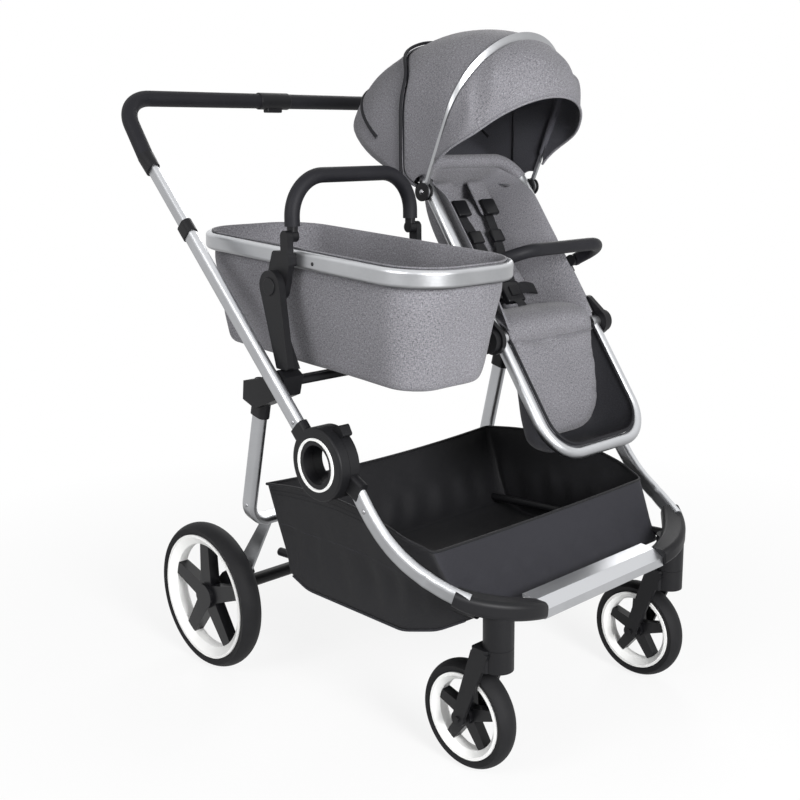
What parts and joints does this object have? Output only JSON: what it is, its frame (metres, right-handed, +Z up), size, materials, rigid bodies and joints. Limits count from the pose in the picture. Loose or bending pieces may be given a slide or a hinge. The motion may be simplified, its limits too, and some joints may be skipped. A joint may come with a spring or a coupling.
{
  "type": "side-by-side baby stroller",
  "caption": "Side-by-side stroller with a tub-shaped carrycot and a reclined seat under a canopy on a folding frame with a telescopic handle, swivel front wheels and an open basket.",
  "frame": {"origin": "on the ground under the middle of the stroller's bounding box", "axes": "+X forward in the pushing direction, +Y to the stroller's left, +Z up"},
  "size_m": [0.9059, 0.7426, 1.2178],
  "materials": {
    "satin_aluminium": "satin anodised",
    "black_plastic": "fine grain, matte",
    "black_gloss_plastic": "half gloss",
    "white_plastic": "half gloss",
    "tyre_rubber": "matte",
    "black_steel": "powder coated",
    "grip_foam": "fine cell foam",
    "grey_fabric": "heather weave",
    "black_fabric": "plain weave"
  },
  "bodies": {
    "chassis": {"front_legs": "satin_aluminium", "corner_castings": "black_plastic", "footboard": "satin_aluminium", "hub_inner_halves": "black_plastic", "rear_frame": "satin_aluminium", "rear_brackets": "black_plastic", "rear_cross_bar": "black_steel", "rear_axle": "black_steel", "axle_plates": "satin_aluminium", "side_rails": "black_steel", "basket": "black_fabric", "carrycot_risers": "black_plastic", "seat_arms": "black_plastic"},
    "handle": {"hub_outer_half_right": "black_plastic", "hub_outer_half_left": "black_plastic", "hub_ring_trims": "white_plastic", "handle_lower_tubes": "satin_aluminium", "telescope_collars": "black_plastic"},
    "handle_slider": {"handle_upper_tubes": "satin_aluminium", "handle_grip": "grip_foam", "grip_sleeves": "black_plastic", "grip_housing": "black_plastic"},
    "fold_button": {"fold_button": "black_plastic"},
    "caster_right": {"fork_right": "black_plastic"},
    "caster_left": {"fork_left": "black_plastic"},
    "brake_pedal": {"brake_pedal": "black_plastic"},
    "carrycot": {"carrycot_rim": "satin_aluminium", "carrycot_tub": "grey_fabric", "carrycot_mounts": "black_plastic", "mattress": "grey_fabric"},
    "arch": {"arch_ends": "black_plastic", "arch_grip": "grip_foam"},
    "riser_button": {"riser_button": "black_plastic"},
    "seat": {"seat_frame": "satin_aluminium", "seat_hubs": "black_plastic", "seat_back": "grey_fabric", "seat_cushion": "grey_fabric", "harness": "black_fabric", "bumper_sockets": "black_plastic", "canopy_mounts": "black_plastic", "canopy_rear": "grey_fabric"},
    "legrest": {"legrest_tube": "satin_aluminium", "calf_pad": "grey_fabric"},
    "bumper": {"bumper_bar": "grip_foam"},
    "canopy": {"canopy_bow": "satin_aluminium", "canopy_front": "grey_fabric", "canopy_visor": "grey_fabric"},
    "wheel_front_right": {"tyre_front_right": "tyre_rubber", "rim_front_right": "white_plastic", "spider_front_right": "black_gloss_plastic"},
    "wheel_front_left": {"tyre_front_left": "tyre_rubber", "rim_front_left": "white_plastic", "spider_front_left": "black_gloss_plastic"},
    "wheel_rear_right": {"tyre_rear_right": "tyre_rubber", "rim_rear_right": "white_plastic", "spider_rear_right": "black_gloss_plastic"},
    "wheel_rear_left": {"tyre_rear_left": "tyre_rubber", "rim_rear_left": "white_plastic", "spider_rear_left": "black_gloss_plastic"}
  },
  "joints": [
    {"name": "handle_fold", "type": "hinge", "parent": "chassis", "child": "handle", "pos_m": [0.126, 0, 0.497], "axis": [0, 1, 0], "range_deg": [0, 120]},
    {"name": "handle_telescope", "type": "slide", "parent": "handle", "child": "handle_slider", "axis": [-0.7009, 0, 0.7133], "range_m": [-0.05, 0.05]},
    {"name": "fold_button_press", "type": "slide", "parent": "handle_slider", "child": "fold_button", "axis": [0, 0, 1], "range_m": [0, 0.005], "stiffness_N_per_m": 600, "springref_m": -0.001},
    {"name": "caster_swivel_right", "type": "hinge", "parent": "chassis", "child": "caster_right", "pos_m": [0.41, -0.238, 0.24], "axis": [0, 0, 1], "continuous": true},
    {"name": "wheel_spin_front_right", "type": "hinge", "parent": "caster_right", "child": "wheel_front_right", "pos_m": [0.348, -0.238, 0.0925], "axis": [0, 1, 0], "continuous": true},
    {"name": "caster_swivel_left", "type": "hinge", "parent": "chassis", "child": "caster_left", "pos_m": [0.41, 0.238, 0.24], "axis": [0, 0, 1], "continuous": true},
    {"name": "wheel_spin_front_left", "type": "hinge", "parent": "caster_left", "child": "wheel_front_left", "pos_m": [0.348, 0.238, 0.0925], "axis": [0, 1, 0], "continuous": true},
    {"name": "wheel_spin_rear_right", "type": "hinge", "parent": "chassis", "child": "wheel_rear_right", "pos_m": [-0.27, -0.322, 0.145], "axis": [0, 1, 0], "continuous": true},
    {"name": "wheel_spin_rear_left", "type": "hinge", "parent": "chassis", "child": "wheel_rear_left", "pos_m": [-0.27, 0.322, 0.145], "axis": [0, 1, 0], "continuous": true},
    {"name": "brake_pedal_press", "type": "hinge", "parent": "chassis", "child": "brake_pedal", "pos_m": [-0.27, 0, 0.145], "axis": [0, -1, 0], "range_deg": [0, 20]},
    {"name": "carrycot_tilt", "type": "hinge", "parent": "chassis", "child": "carrycot", "pos_m": [-0.013, -0.175, 0.775], "axis": [0, 1, 0], "range_deg": [-6, 6]},
    {"name": "arch_swing", "type": "hinge", "parent": "carrycot", "child": "arch", "pos_m": [0.014, -0.175, 0.858], "axis": [0, 1, 0], "range_deg": [-70, 70]},
    {"name": "riser_button_press", "type": "slide", "parent": "chassis", "child": "riser_button", "axis": [0, 1, 0], "range_m": [0, 0.003], "stiffness_N_per_m": 500, "springref_m": -0.0005},
    {"name": "seat_recline", "type": "hinge", "parent": "chassis", "child": "seat", "pos_m": [0.173, 0.164, 0.66], "axis": [0, -1, 0], "range_deg": [0, 12]},
    {"name": "legrest_swing", "type": "hinge", "parent": "seat", "child": "legrest", "pos_m": [0.173, 0.164, 0.66], "axis": [0, -1, 0], "range_deg": [0, 35]},
    {"name": "bumper_swing", "type": "hinge", "parent": "seat", "child": "bumper", "pos_m": [0.12832, 0.164, 0.7795], "axis": [0, -1, 0], "range_deg": [0, 40]},
    {"name": "canopy_fold", "type": "hinge", "parent": "seat", "child": "canopy", "pos_m": [-0.00192, 0.164, 0.91836], "axis": [0, -1, 0], "range_deg": [0, 38]}
  ]
}
